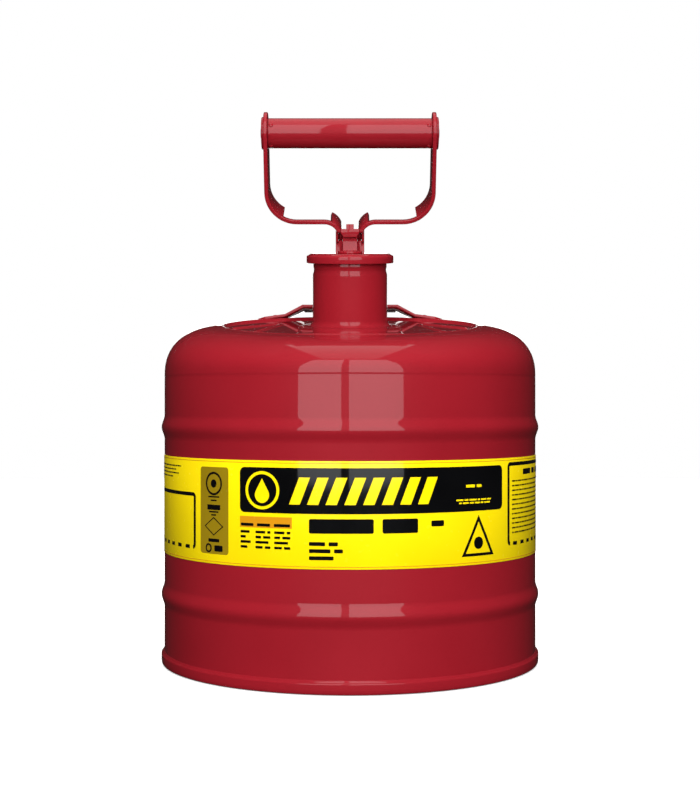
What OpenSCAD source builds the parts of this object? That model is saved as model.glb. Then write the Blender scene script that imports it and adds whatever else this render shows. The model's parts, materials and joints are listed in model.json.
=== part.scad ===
// Safety can for flammable liquids: a round beaded steel can with a sprung,
// self-closing cap, a flame arrester in its neck and a swinging carry handle.
// Millimetres. Origin: centre of the base. Front is -Y, up is +Z.

/* [Can body] */
// Outside radius of the plain wall
body_r = 118.8; // [118:0.1:119.5]
// Thickness of the sheet steel
wall = 1; // [0.8:0.1:1.2]
// Height where the wall ends and the domed top starts
wall_top_z = 182; // [181:0.5:183]
// Height of the middle of the lower rolled bead
bead_low_z = 43.8; // [42:0.2:46]
// Height of the middle of the upper rolled bead
bead_high_z = 149.3; // [148:0.2:151]
// How far a bead stands out from the wall
bead_out = 1.85; // [1.2:0.05:1.85]
// Half the height of a bead
bead_half = 7.8; // [6:0.2:8]

/* [Bottom] */
// Height of the rolled chime that the can stands on
chime_h = 8; // [7:0.5:9]
// Outside radius of the chime
chime_r = 120.65; // [120:0.05:120.65]
// Height of the underside of the recessed bottom plate
bottom_z = 4.6; // [3:0.2:5]

/* [Top] */
// Forward tilt of the flat top panel and of the neck, degrees
tilt = 7; // [6:0.5:7]
// Height of the centre of the top panel
panel_z = 214.6; // [214:0.1:215]
// Radius of the flat panel, where the domed shoulder starts
panel_r = 83; // [82:0.5:84]
// Radius of the hole in the panel below the neck
panel_hole_r = 21; // [20:0.5:22]

/* [Neck and mouth] */
// Outside radius of the neck
neck_r = 24; // [23.8:0.1:24.1]
// Wall of the neck
neck_wall = 1.2; // [1:0.1:1.4]
// Height of the bottom of the cap skirt, along the neck
skirt_w = 40.1; // [39.8:0.1:40.4]
// Radius of the mouth's bore
mouth_bore_r = 18; // [18:0.1:18.4]
// Thickness of the mouth ring
mouth_t = 1.4; // [1.2:0.1:1.6]

/* [Flame arrester] */
// Outside radius of the slotted tube
screen_r = 16.8; // [16.4:0.1:16.8]
// Lowest point of the slotted tube, along the neck
screen_low_w = -40; // [-44:1:-36]
// Width of one slot in the tube
slot_w = 3; // [2:0.5:4]
// Rows of slots
slot_rows = 3; // [2:1:4]
// Pairs of slots in a row
slot_pairs = 6; // [4:1:7]

/* [Cap] */
// Outside radius of the cap
cap_r = 28.05; // [27.9:0.05:28.1]
// Height of the cap's rim from the skirt's bottom edge
cap_rim_h = 4.5; // [4.3:0.1:4.7]
// Height of the cap's crown from the skirt's bottom edge
cap_h = 6.1; // [5.9:0.1:6.3]
// Sheet thickness of the cap
cap_t = 1.05; // [0.9:0.05:1.1]

/* [Hinge] */
// Distance of the pivot pin behind the can's axis
pivot_y = 31; // [30.8:0.1:31.2]
// Height of the pivot pin
pivot_z = 275.5; // [275.3:0.1:275.7]
// Radius of the pivot pin
pin_r = 2; // [1.8:0.1:2]
// Radial running clearance between the pin and what turns on it
run_gap = 0.05; // [0.03:0.01:0.08]
// Inner face of the yoke's side plates, from the middle
yoke_in = 7.7; // [7.7:0.05:7.8]
// Outer face of the yoke's side plates, from the middle
yoke_out = 9.45; // [9.4:0.05:9.6]

/* [Handle] */
// Forward lean of the handle on its front stop, degrees
handle_lean = 22; // [22:0.5:23]
// Distance from the pivot pin to the middle of the grip
handle_len = 69; // [68.5:0.5:69]
// Width of the handle's strap
strap_w = 27.2; // [27:0.1:27.2]
// Outer face of the handle's arms, from the middle
arm_out = 55.8; // [55.4:0.1:56]
// Thickness of the strap
strap_t = 2.55; // [2.4:0.05:2.6]
// Outside radius of the strap's lower corners
corner_r = 21; // [19:0.5:22]
// Underside of the strap's level stretch, above the pin
strap_low = 11.8; // [11.8:0.1:12.6]
// Radius of the grip tube
grip_r = 9.7; // [9.4:0.1:9.8]

/* [Handle rest] */
// Distance of the rest behind the can's axis
rest_y = 80; // [79:0.5:81]
// Height of the top of the rest
rest_z = 231.5; // [231:0.1:232]
// Backward slope of the rest, degrees
rest_slope = 5; // [4:0.5:6]
// Depth of the rest's top
rest_depth = 24; // [22:1:24]

/* [Label] */
// Lower edge of the label band
label_low_z = 70.8; // [68:0.2:74]
// Upper edge of the label band
label_high_z = 131.9; // [128:0.2:135]
// Thickness of the label
label_t = 0.25; // [0.2:0.05:0.4]

/* [Hidden] */
$fn = 96;
eps = 0.01;

red = "#b02433";
dark_red = "#8c1a28";
yellow = "#f6d912";
steel = "silver";
brass = "goldenrod";
black = "#222222";

// Heights along the neck, from the panel's plane
mouth_w = skirt_w - 0.2;
seat_w = mouth_w + mouth_t;
crown_w = skirt_w + cap_h;
plate_t = 1.4;
plate_w = crown_w + plate_t;
retainer_w = seat_w - 1.2;
cap_under_w = crown_w - cap_t;

// The pin's place in the neck's own tilted frame: v to the rear, w up the neck
pin_v = pivot_y * cos(tilt) + (pivot_z - panel_z) * sin(tilt);
pin_w = -pivot_y * sin(tilt) + (pivot_z - panel_z) * cos(tilt);

// ---- helpers ---------------------------------------------------------------

function arc(cx, cy, r, a0, a1, n) =
    [for (i = [0:n]) let (a = a0 + (a1 - a0) * i / n) [cx + r * cos(a), cy + r * sin(a)]];

function mirrored(points) =
    [for (i = [len(points) - 1:-1:0]) [-points[i][0], points[i][1]]];

// A raised-cosine bead on the wall at height z
function bead(z, middle) =
    abs(z - middle) >= bead_half ? 0
        : bead_out * (0.5 + 0.5 * cos(180 * (z - middle) / bead_half));

function wall_r(z) = body_r + bead(z, bead_low_z) + bead(z, bead_high_z);

module tilted() {
    translate([0, 0, panel_z])
        rotate([tilt, 0, 0])
            children();
}

// A ring or tube on the neck's axis
module tube(r_out, r_in, low, high) {
    rotate_extrude()
        translate([r_in, low])
            square([r_out - r_in, high - low]);
}

// A rod along X with its axis at [y, z]
module rod_x(r, x0, x1, y = 0, z = 0) {
    translate([x0, y, z])
        rotate([0, 90, 0])
            cylinder(r = r, h = x1 - x0);
}

// A flat outline in the Y-Z plane, thickened from x0 to x1
module side_plate(x0, x1) {
    translate([x0, 0, 0])
        rotate([90, 0, 90])
            linear_extrude(x1 - x0)
                children();
}

module both_sides() {
    children();
    mirror([1, 0, 0])
        children();
}

// The handle's own frame at rest: origin on the pin, z up the handle
module handle_frame() {
    translate([0, pivot_y, pivot_z])
        rotate([handle_lean, 0, 0])
            children();
}

// ---- can body --------------------------------------------------------------

bead_steps = 12;
function bead_heights(middle) =
    [for (i = [0:bead_steps]) middle + bead_half * (2 * i / bead_steps - 1)];

module body_shell() {
    heights = concat([chime_h], bead_heights(bead_low_z),
                     bead_heights(bead_high_z), [wall_top_z]);
    n = len(heights) - 1;
    color(red)
        rotate_extrude()
            polygon(concat([for (z = heights) [wall_r(z), z]],
                           [for (i = [n:-1:0]) [wall_r(heights[i]) - wall, heights[i]]]));
}

// Lap strip that backs the welded seam, inside at the rear
module side_seam() {
    seam_w = 9;
    seam_t = 0.9;
    margin = 2;
    color(dark_red)
        intersection() {
            tube(body_r - wall, body_r - wall - seam_t, chime_h + margin, wall_top_z - margin);
            translate([-seam_w / 2, 0, 0])
                cube([seam_w, 2 * body_r, wall_top_z]);
        }
}

chime_in_r = 116.6;

module bottom_plate() {
    dish_r = 70;
    dish_h = 1.2;
    color(dark_red)
        rotate_extrude()
            polygon([[0, bottom_z + dish_h], [dish_r, bottom_z + dish_h],
                     [dish_r + 8, bottom_z], [chime_in_r, bottom_z],
                     [chime_in_r, bottom_z + wall], [dish_r + 8, bottom_z + wall],
                     [dish_r, bottom_z + dish_h + wall], [0, bottom_z + dish_h + wall]]);
}

module bottom_chime() {
    round_r = 1.6;
    color(red)
        rotate_extrude()
            polygon(concat(
                arc(chime_r - round_r, round_r, round_r, -90, 0, 6),
                arc(chime_r - round_r, chime_h - round_r, round_r, 0, 90, 6),
                [[chime_in_r, chime_h], [chime_in_r, 0.6], [chime_in_r + 0.6, 0]]));
}

// ---- domed top -------------------------------------------------------------

// The shoulder runs from the level rim of the wall to the tilted panel. Its
// section is a slightly full quarter ellipse, sheared to meet the panel's slope.
shoulder_full = 0.92;
dome_sides = 64;
dome_steps = 8;

function shoulder(a, phi, inset) =
    let (
        out = pow(cos(phi), shoulder_full),
        up = pow(sin(phi), shoulder_full),
        rim = body_r - inset,
        r = panel_r + (rim - panel_r) * out,
        y_ring = panel_r * cos(tilt),
        z_ring = panel_z - inset / cos(tilt) + panel_r * sin(a) * sin(tilt)
    )
    [r * cos(a),
     sin(a) * (y_ring + (rim - y_ring) * out),
     wall_top_z + (z_ring - wall_top_z) * up + sin(a) * tan(tilt) * (r - panel_r) * up];

// A point of the flat panel at radius r, sunk by inset below its top face
function panel_point(a, r, inset) =
    [r * cos(a),
     r * sin(a) * cos(tilt) + inset * sin(tilt),
     panel_z + r * sin(a) * sin(tilt) - inset * cos(tilt)];

function dome_section(a) = concat(
    [for (i = [0:dome_steps]) shoulder(a, 90 * i / dome_steps, 0)],
    [panel_point(a, panel_hole_r, 0), panel_point(a, panel_hole_r, wall)],
    [for (i = [dome_steps:-1:0]) shoulder(a, 90 * i / dome_steps, wall)]);

module top_dome() {
    points = [for (k = [0:dome_sides - 1]) each dome_section(360 * k / dome_sides)];
    m = 2 * dome_steps + 4;
    faces = [for (k = [0:dome_sides - 1]) for (j = [0:m - 1])
        let (
            k2 = (k + 1) % dome_sides,
            j2 = (j + 1) % m,
            a = k * m + j,
            b = k2 * m + j,
            c = k2 * m + j2,
            d = k * m + j2
        )
        each [[a, d, c], [a, c, b]]];
    color(red)
        polyhedron(points, faces);
}

// ---- neck and mouth --------------------------------------------------------

module neck_tube() {
    groove_w = skirt_w - 4.2;
    groove = 0.35;
    half = 1.6;
    color(red)
        tilted()
            rotate_extrude()
                polygon([[neck_r, 0], [neck_r, groove_w - half], [neck_r - groove, groove_w],
                         [neck_r, groove_w + half], [neck_r, mouth_w],
                         [neck_r - neck_wall, mouth_w], [neck_r - neck_wall, 0]]);
}

// Brazed collar that carries the neck on the panel
module neck_collar() {
    collar_out = 3.6;
    collar_h = 2.4;
    lip = 0.5;
    color(red)
        tilted()
            rotate_extrude()
                polygon(concat([[neck_r, 0], [neck_r + collar_out, 0], [neck_r + collar_out, lip]],
                               arc(neck_r + collar_out, collar_h, collar_h - lip, 250, 180, 5),
                               [[neck_r, collar_h]]));
}

module mouth_ring() {
    ring_r = neck_r + 0.3;
    round_r = 0.5;
    color(steel)
        tilted()
            rotate_extrude()
                polygon(concat([[mouth_bore_r, mouth_w], [ring_r, mouth_w]],
                               arc(ring_r - round_r, seat_w - round_r, round_r, 0, 90, 4),
                               [[mouth_bore_r, seat_w]]));
}

// ---- flame arrester --------------------------------------------------------

module arrester_collar() {
    flange_r = 22;
    flange_t = 1.2;
    sleeve_r = mouth_bore_r - 0.05;
    sleeve_h = 10;
    color(brass)
        tilted() {
            tube(sleeve_r, screen_r, mouth_w - sleeve_h, seat_w - 0.4);
            tube(flange_r, sleeve_r - eps, mouth_w - flange_t, mouth_w);
        }
}

screen_t = 0.9;
screen_top_w = mouth_w - 3;

module arrester_screen() {
    plain_top = 14;
    land = 4;
    pitch = (screen_top_w - plain_top - screen_low_w) / slot_rows;
    color(brass)
        tilted()
            difference() {
                tube(screen_r, screen_r - screen_t, screen_low_w, screen_top_w);
                for (i = [0:slot_rows - 1])
                    for (k = [0:slot_pairs - 1])
                        rotate([0, 0, 180 * k / slot_pairs])
                            translate([-screen_r - 1, -slot_w / 2, screen_low_w + land + i * pitch])
                                cube([2 * screen_r + 2, slot_w, pitch - land]);
            }
}

module arrester_mesh() {
    mesh_t = 0.4;
    mesh_r = screen_r - screen_t;
    color(steel)
        tilted()
            tube(mesh_r, mesh_r - mesh_t, screen_low_w, screen_top_w);
}

module arrester_end_cap() {
    cap_disc_t = 1.2;
    color(brass)
        tilted()
            translate([0, 0, screen_low_w - cap_disc_t])
                cylinder(r = screen_r, h = cap_disc_t);
}

// ---- hinge -----------------------------------------------------------------

yoke_eye_r = 3.85;
yoke_front_v = 22.8;
yoke_rear_v = 33.1;
yoke_low_w = 5;
web_t = 1.6;
// Lugs that hold the handle up, from the pin's centre in the handle's own frame
lug_out = 9.4;
lug_in = 6.4;
lug_rear = 5.1;
lug_depth = 2.3;
shoulder_h = 6.4;
lug_gap = 0.1;

// Side plate: up the back of the neck, out behind the cap and up to the pin
module yoke_outline() {
    behind_cap_v = 27.5;
    polygon([[yoke_front_v, yoke_low_w], [yoke_rear_v, yoke_low_w],
             [yoke_rear_v, pin_w - 17.3], [pin_v - 6.3, pin_w - 13],
             [pin_v + 3.1, pin_w - 2.2], [pin_v - 3.1, pin_w + 2.2],
             [behind_cap_v, pin_w - 11.2], [behind_cap_v, skirt_w - 1.1],
             [yoke_front_v, skirt_w - 3.5]]);
    translate([pin_v, pin_w])
        circle(yoke_eye_r);
    translate([pin_v, pin_w])
        rotate(handle_lean - tilt)
            polygon([[-lug_out, shoulder_h - lug_gap], [-lug_out, -1.2], [-2.5, -1.2],
                     [-lug_rear, 2.6], [-lug_rear, shoulder_h - lug_gap]]);
}

module hinge_yoke() {
    web_low_w = yoke_low_w;
    web_high_w = 36;
    lug_t = 1.4;
    flange_in = 4.8;
    flange_v = 29.5;
    flange_low_w = 39;
    flange_high_w = 54;
    color(red) {
        difference() {
            union() {
                tilted() {
                    both_sides()
                        side_plate(yoke_in, yoke_out)
                            yoke_outline();
                    translate([-yoke_in - eps, yoke_rear_v - web_t, web_low_w])
                        cube([2 * (yoke_in + eps), web_t, web_high_w - web_low_w]);
                    // Flanges that close the gaps beside the lid arm
                    both_sides()
                        translate([flange_in, flange_v, flange_low_w])
                            cube([yoke_in - flange_in + eps, web_t, flange_high_w - flange_low_w]);
                }
                // Lugs that the handle's legs rest on when it leans forward
                handle_frame()
                    both_sides()
                        translate([yoke_in - lug_depth, -lug_out, shoulder_h - lug_gap - lug_t])
                            cube([lug_depth + eps, lug_out - lug_in, lug_t]);
            }
            rod_x(pin_r, -2 * yoke_out, 2 * yoke_out, pivot_y, pivot_z);
            tilted()
                translate([0, 0, -eps])
                    cylinder(r = neck_r, h = mouth_w);
        }
    }
}

// Riveted over flush with the yoke's outer faces
module pivot_pin() {
    color(steel)
        rod_x(pin_r, -yoke_out, yoke_out, pivot_y, pivot_z);
}

// ---- handle rest -----------------------------------------------------------

rest_half = 33;
rest_leg_x = 45;
rest_foot_x = 64;
rest_t = 2;

module rest_frame() {
    translate([0, rest_y, rest_z])
        rotate([-rest_slope, 0, 0])
            children();
}

// A bent strip: its section in the X-Z plane, run from y0 to y1
module strip(y0, y1, points) {
    translate([0, y1, 0])
        rotate([90, 0, 0])
            linear_extrude(y1 - y0)
                polygon(points);
}

module handle_rest() {
    leg_z = -6.5;
    foot_z = -9.1;
    foot_front = -12;
    foot_rear = 1;
    clip = 7;
    crown = [[rest_half, 0], [rest_leg_x, leg_z], [rest_leg_x, leg_z - rest_t],
             [rest_half - 0.7, -rest_t]];
    foot = [[rest_leg_x - eps, leg_z], [rest_foot_x, foot_z],
            [rest_foot_x, foot_z - rest_t], [rest_leg_x - eps, leg_z - rest_t]];
    color(red)
        rest_frame()
            difference() {
                union() {
                    strip(-rest_depth / 2, rest_depth / 2, concat(crown, mirrored(crown)));
                    both_sides()
                        strip(foot_front, foot_rear, foot);
                }
                // Clipped corners of the feet
                both_sides()
                    for (y = [foot_front, foot_rear])
                        translate([rest_foot_x, y, foot_z - 5])
                            rotate([0, 0, 45])
                                translate([-clip / 2, -clip / 2, 0])
                                    cube([clip, clip, 10]);
            }
}

// Round-headed rivets through the feet
module rest_rivets() {
    head_r = 2.6;
    dome_r = 4.2;
    seat = 0.7;
    foot_angle = 8;
    color(red)
        rest_frame()
            both_sides()
                translate([52, -6, -8.2])
                    rotate([0, foot_angle, 0])
                        intersection() {
                            translate([0, 0, 1.8 - dome_r])
                                sphere(dome_r);
                            translate([0, 0, seat])
                                cylinder(r = head_r, h = 2);
                        }
}

// ---- label -----------------------------------------------------------------

module label_band() {
    color(yellow)
        tube(body_r + label_t, body_r, label_low_z, label_high_z);
}

// ---- handle ----------------------------------------------------------------

leg_out = 7.55;
bend_r = 9.2;
bend_x = leg_out + bend_r;
bend_z = strap_low - bend_r;
corner_x = arm_out - corner_r;
corner_z = strap_low + corner_r;
leg_end_r = 4.6;
arm_in = arm_out - strap_t;

module strap_profile() {
    top = handle_len + strap_w / 2;
    right = concat(
        [[leg_out - strap_t, -leg_end_r], [leg_out, -leg_end_r]],
        arc(bend_x, bend_z, bend_r, 180, 90, 10),
        arc(corner_x, corner_z, corner_r, -90, 0, 12),
        [[arm_out, top], [arm_in, top]],
        arc(corner_x, corner_z, corner_r - strap_t, 0, -90, 12),
        arc(bend_x, bend_z, bend_r + strap_t, 90, 180, 10));
    polygon(right);
}

// The cut-out's ends are square to the strap: one on the S-bend, which leaves an
// ear, and one part of the way round the lower corner.
module notch_outline() {
    ear_angle = 114;
    corner_angle = -62;
    reach = 3;
    ear_near = bend_r - reach;
    ear_far = bend_r + strap_t + reach;
    corner_near = corner_r - strap_t - reach;
    corner_far = corner_r + reach;
    polygon([[bend_x + ear_near * cos(ear_angle), bend_z + ear_near * sin(ear_angle)],
             [corner_x + corner_far * cos(corner_angle), corner_z + corner_far * sin(corner_angle)],
             [corner_x + corner_near * cos(corner_angle), corner_z + corner_near * sin(corner_angle)],
             [bend_x + ear_far * cos(ear_angle), bend_z + ear_far * sin(ear_angle)]]);
}

// One side's bent strap. Its leg narrows to an eye, and the rear of its level
// stretch is cut away to pass the cap when the handle folds back.
module handle_arm() {
    front_strip = 4;
    half_w = strap_w / 2;
    color(red)
        handle_frame()
            difference() {
                intersection() {
                    translate([0, half_w, 0])
                        rotate([90, 0, 0])
                            linear_extrude(strap_w)
                                strap_profile();
                    union() {
                        rod_x(half_w, 0, arm_out + 1, 0, handle_len);
                        translate([0, -half_w, shoulder_h])
                            cube([arm_out + 1, strap_w, handle_len - shoulder_h]);
                        rod_x(leg_end_r, 0, leg_out + 1);
                        translate([0, -leg_end_r, 0])
                            cube([leg_out + 1, 2 * leg_end_r, shoulder_h + 1]);
                    }
                }
                translate([0, half_w + 1, 0])
                    rotate([90, 0, 0])
                        linear_extrude(strap_w - front_strip + 1)
                            notch_outline();
                rod_x(pin_r + run_gap, 0, 2 * leg_out);
                rod_x(rod_r, corner_x, 2 * arm_out, 0, handle_len);
            }
}

module handle_arm_right() {
    handle_arm();
}

module handle_arm_left() {
    mirror([1, 0, 0])
        handle_arm();
}

rod_r = 3.5;
grip_wall = 1.2;
disc_t = 1.5;
plug_len = 9;

module grip_tube() {
    color(red)
        handle_frame()
            difference() {
                rod_x(grip_r, -arm_in, arm_in, 0, handle_len);
                rod_x(grip_r - grip_wall, -2 * arm_in, 2 * arm_in, 0, handle_len);
            }
}

// Turned plugs that fill the ends of the grip tube
module grip_plugs() {
    color(steel)
        handle_frame()
            both_sides()
                difference() {
                    rod_x(grip_r - grip_wall, arm_in - plug_len, arm_in, 0, handle_len);
                    rod_x(rod_r, 0, 2 * arm_in, 0, handle_len);
                }
}

module grip_rod() {
    end = arm_out + disc_t + 0.6;
    color(steel)
        handle_frame()
            rod_x(rod_r, -end, end, 0, handle_len);
}

module grip_end_discs() {
    disc_r = 10.5;
    color(red)
        handle_frame()
            both_sides()
                difference() {
                    rod_x(disc_r, arm_out, arm_out + disc_t, 0, handle_len);
                    rod_x(rod_r, arm_in, arm_out + 2 * disc_t, 0, handle_len);
                }
}

// Dome-headed rivets that stake the tube to its plugs, four at each end
module grip_rivets() {
    inset = 2.2;
    head_r = 1.5;
    head_h = 0.7;
    dome_r = 2.2;
    color(red)
        handle_frame()
            for (side = [-1, 1])
                for (k = [0:3])
                    translate([side * (arm_in - inset), 0, handle_len])
                        rotate([45 + 90 * k, 0, 0])
                            intersection() {
                                translate([0, 0, grip_r + head_h - dome_r])
                                    sphere(dome_r);
                                difference() {
                                    cylinder(r = head_r, h = grip_r + 2);
                                    rotate([0, 90, 0])
                                        cylinder(r = grip_r, h = 20, center = true);
                                }
                            }
}

// ---- cap and lid arm -------------------------------------------------------

rivet_r = 2;

module cap_shell() {
    crown_r = cap_r - 3.1;
    rim_w = skirt_w + cap_rim_h;
    color(red)
        tilted()
            rotate_extrude()
                polygon([[cap_r - cap_t, skirt_w], [cap_r - 0.3, skirt_w], [cap_r, skirt_w + 0.3],
                         [cap_r, rim_w], [crown_r, crown_w], [rivet_r, crown_w],
                         [rivet_r, cap_under_w], [crown_r - 0.4, cap_under_w],
                         [cap_r - cap_t, rim_w - 0.5]]);
}

gasket_in_r = 12;

module cap_gasket() {
    gasket_r = 24.3;
    color(black)
        tilted()
            tube(gasket_r, gasket_in_r, seat_w, cap_under_w);
}

module gasket_retainer() {
    flange_r = 15.4;
    color(steel)
        tilted() {
            tube(gasket_in_r, rivet_r, seat_w - eps, cap_under_w);
            tube(flange_r, rivet_r, retainer_w, seat_w);
        }
}

module cap_rivet() {
    head_r = 4.4;
    flat_h = 1.2;
    dome_h = 0.5;
    dome_r = 19.6;
    low_w = retainer_w - flat_h;
    color(steel)
        tilted() {
            translate([0, 0, low_w])
                cylinder(r = rivet_r, h = plate_w - low_w + 0.2);
            translate([0, 0, low_w])
                cylinder(r = head_r, h = flat_h);
            intersection() {
                translate([0, 0, plate_w + dome_h - dome_r])
                    sphere(dome_r);
                translate([0, 0, plate_w])
                    cylinder(r = head_r, h = 3);
            }
        }
}

arm_rivet_x = 4.6;
arm_rivet_v = 11;
arm_rivet_r = 1.5;
arm_web_half = 4.85;
arm_web_v = 24.4;
arm_t = 1.6;
ear_out = 4.6;
arm_eye_r = 4.6;
lever_top_w = pin_w + 4.6;

module lid_arm() {
    lip_half = 6.1;
    lip_v = 21.4;
    lip_t = 1.5;
    lip_low_w = pin_w - 0.3;
    lip_high_w = lever_top_w + 0.5;
    pad_r = 8;
    neck_v = 22;
    clip_x = 1.8;
    clip_w = 3;
    tongue = [5, 1.5, 3.6];
    color(red)
        difference() {
            tilted() {
                // Foot on the crown, narrow where it passes between the handle's legs
                translate([0, 0, crown_w])
                    linear_extrude(plate_t)
                        difference() {
                            union() {
                                circle(pad_r);
                                polygon([[-pad_r, 0], [pad_r, 0], [pad_r, neck_v - 4],
                                         [arm_web_half, neck_v], [arm_web_half, arm_web_v + arm_t],
                                         [-arm_web_half, arm_web_v + arm_t],
                                         [-arm_web_half, neck_v], [-pad_r, neck_v - 4]]);
                            }
                            circle(rivet_r);
                            for (side = [-1, 1])
                                translate([side * arm_rivet_x, arm_rivet_v])
                                    circle(arm_rivet_r);
                        }
                // Upright web
                translate([-arm_web_half, arm_web_v, plate_w - eps])
                    cube([2 * arm_web_half, arm_t, lever_top_w - plate_w + eps]);
                // Ears that run back to the pin
                both_sides()
                    side_plate(ear_out - arm_t, ear_out)
                        union() {
                            polygon([[arm_web_v, plate_w - eps], [arm_web_v + 4, plate_w - eps],
                                     [pin_v + 2.6, pin_w - 3.7], [pin_v, pin_w + arm_eye_r],
                                     [arm_web_v, lever_top_w]]);
                            translate([pin_v, pin_w])
                                circle(arm_eye_r);
                        }
                // Bridge over the ears
                translate([-ear_out, arm_web_v, lever_top_w - arm_t])
                    cube([2 * ear_out, 10, arm_t]);
                // Finger lip in front, with clipped lower corners
                translate([0, lip_v + lip_t, 0])
                    rotate([90, 0, 0])
                        linear_extrude(lip_t)
                            polygon([[-lip_half, lip_high_w], [-lip_half, lip_low_w + clip_w],
                                     [-lip_half + clip_x, lip_low_w], [lip_half - clip_x, lip_low_w],
                                     [lip_half, lip_low_w + clip_w], [lip_half, lip_high_w]]);
                translate([-arm_web_half, lip_v + lip_t - eps, lever_top_w - arm_t])
                    cube([2 * arm_web_half, arm_web_v - lip_v - lip_t + 2 * eps, arm_t]);
                // Bent-up tongue at the rear of the bridge
                translate([-tongue[0] / 2, arm_web_v + 6, lever_top_w - eps])
                    cube(tongue);
            }
            rod_x(pin_r + run_gap, -2 * ear_out, 2 * ear_out, pivot_y, pivot_z);
        }
}

module arm_rivets() {
    head_r = 2.4;
    dome_h = 0.4;
    dome_r = 7.4;
    color(red)
        tilted()
            for (side = [-1, 1])
                translate([side * arm_rivet_x, arm_rivet_v, crown_w]) {
                    cylinder(r = arm_rivet_r, h = plate_t + 0.2);
                    intersection() {
                        translate([0, 0, plate_t + dome_h - dome_r])
                            sphere(dome_r);
                        translate([0, 0, plate_t])
                            cylinder(r = head_r, h = 2);
                    }
                }
}

// ---- spring ----------------------------------------------------------------

spring_r = 3.2;
wire_r = 0.5;
wire_sides = 8;
spring_turns = 3.75;
turn_steps = 20;
spring_half = 2.2;

// Centre line of the wire as [x, v, w]: the fixed leg rises behind the cap from
// the neck, the coil winds about the pin, and the moving leg runs forward to
// the foot of the lid arm.
function spring_path() =
    let (steps = spring_turns * turn_steps)
    concat(
        [[-spring_half, neck_r + wire_r + 0.1, skirt_w - 12],
         [-spring_half, 29.8, skirt_w - 2],
         [-spring_half, 31, skirt_w + 4]],
        [for (i = [0:steps]) let (a = 180 - 360 * i / turn_steps)
            [spring_half * (2 * i / steps - 1), pin_v + spring_r * cos(a), pin_w + spring_r * sin(a)]],
        [[spring_half, arm_web_v + arm_t + wire_r + 0.1, plate_w + wire_r + 0.1]]);

function unit(v) = v / norm(v);

// Rings of a wire about a path that never runs along X
function wire_rings(path) =
    let (n = len(path) - 1)
    [for (i = [0:n])
        let (
            t = unit(path[min(i + 1, n)] - path[max(i - 1, 0)]),
            side = unit([1, 0, 0] - t[0] * t),
            up = cross(t, side)
        )
        for (k = [0:wire_sides - 1])
            let (a = 360 * k / wire_sides)
            path[i] + wire_r * (cos(a) * side + sin(a) * up)];

module lid_spring() {
    path = spring_path();
    last = (len(path) - 1) * wire_sides;
    skin = [for (i = [0:len(path) - 2]) for (k = [0:wire_sides - 1])
        let (
            a = i * wire_sides + k,
            b = i * wire_sides + (k + 1) % wire_sides,
            c = a + wire_sides,
            d = b + wire_sides
        )
        each [[a, d, b], [a, c, d]]];
    start_end = [for (k = [0:wire_sides - 1]) k];
    far_end = [for (k = [wire_sides - 1:-1:0]) last + k];
    color(steel)
        tilted()
            polyhedron(wire_rings(path), concat(skin, [start_end, far_end]));
}

// ---- the nodes -------------------------------------------------------------

body_shell();
side_seam();
bottom_plate();
bottom_chime();
top_dome();
neck_tube();
neck_collar();
mouth_ring();
arrester_collar();
arrester_screen();
arrester_mesh();
arrester_end_cap();
hinge_yoke();
pivot_pin();
handle_rest();
rest_rivets();
label_band();
handle_arm_left();
handle_arm_right();
grip_tube();
grip_plugs();
grip_rod();
grip_end_discs();
grip_rivets();
cap_shell();
cap_gasket();
gasket_retainer();
cap_rivet();
lid_arm();
arm_rivets();
lid_spring();
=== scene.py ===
"""Looks of a steel safety can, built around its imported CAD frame.

Metres in the scene, millimetres in the outlines below. The can stands on Z = 0,
its front is -Y. Three frames are used: the can's own, the neck's, which leans
forward about X, and the handle's, which turns about the hinge pin.
"""

import json
import math

import bmesh
import bpy
from mathutils import Matrix, Vector

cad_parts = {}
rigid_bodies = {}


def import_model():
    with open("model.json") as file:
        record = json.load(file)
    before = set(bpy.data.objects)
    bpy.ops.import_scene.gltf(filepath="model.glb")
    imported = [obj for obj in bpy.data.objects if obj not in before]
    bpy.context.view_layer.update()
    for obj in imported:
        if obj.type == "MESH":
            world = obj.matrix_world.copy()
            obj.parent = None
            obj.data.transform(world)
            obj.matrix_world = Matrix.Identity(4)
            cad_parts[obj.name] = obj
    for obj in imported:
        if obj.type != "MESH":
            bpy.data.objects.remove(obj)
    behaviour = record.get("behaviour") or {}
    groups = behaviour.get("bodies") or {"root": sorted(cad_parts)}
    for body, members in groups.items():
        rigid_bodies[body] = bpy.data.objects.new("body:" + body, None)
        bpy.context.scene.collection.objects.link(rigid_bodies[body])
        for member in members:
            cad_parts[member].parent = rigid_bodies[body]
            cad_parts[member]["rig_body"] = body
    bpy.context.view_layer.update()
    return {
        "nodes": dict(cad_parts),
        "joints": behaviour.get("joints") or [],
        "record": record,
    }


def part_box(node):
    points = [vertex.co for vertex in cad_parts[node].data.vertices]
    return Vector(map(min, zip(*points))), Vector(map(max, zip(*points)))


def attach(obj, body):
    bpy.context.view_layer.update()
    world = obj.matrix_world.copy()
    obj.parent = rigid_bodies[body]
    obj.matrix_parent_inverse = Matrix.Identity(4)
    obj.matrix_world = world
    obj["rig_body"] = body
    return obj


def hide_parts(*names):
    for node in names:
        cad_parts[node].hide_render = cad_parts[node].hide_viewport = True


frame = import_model()

MM = 0.001
NODES = frame["nodes"]
SLOTS = {part["node"]: part["material_slot"] for part in frame["record"]["subparts"]}


def low(node, axis):
    """A CAD node's lowest coordinate on an axis, in millimetres."""
    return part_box(node)[0][axis] / MM


def high(node, axis):
    """A CAD node's highest coordinate on an axis, in millimetres."""
    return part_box(node)[1][axis] / MM


X, Y, Z = 0, 1, 2

# ---- sizes, in millimetres ---------------------------------------------------

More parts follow.
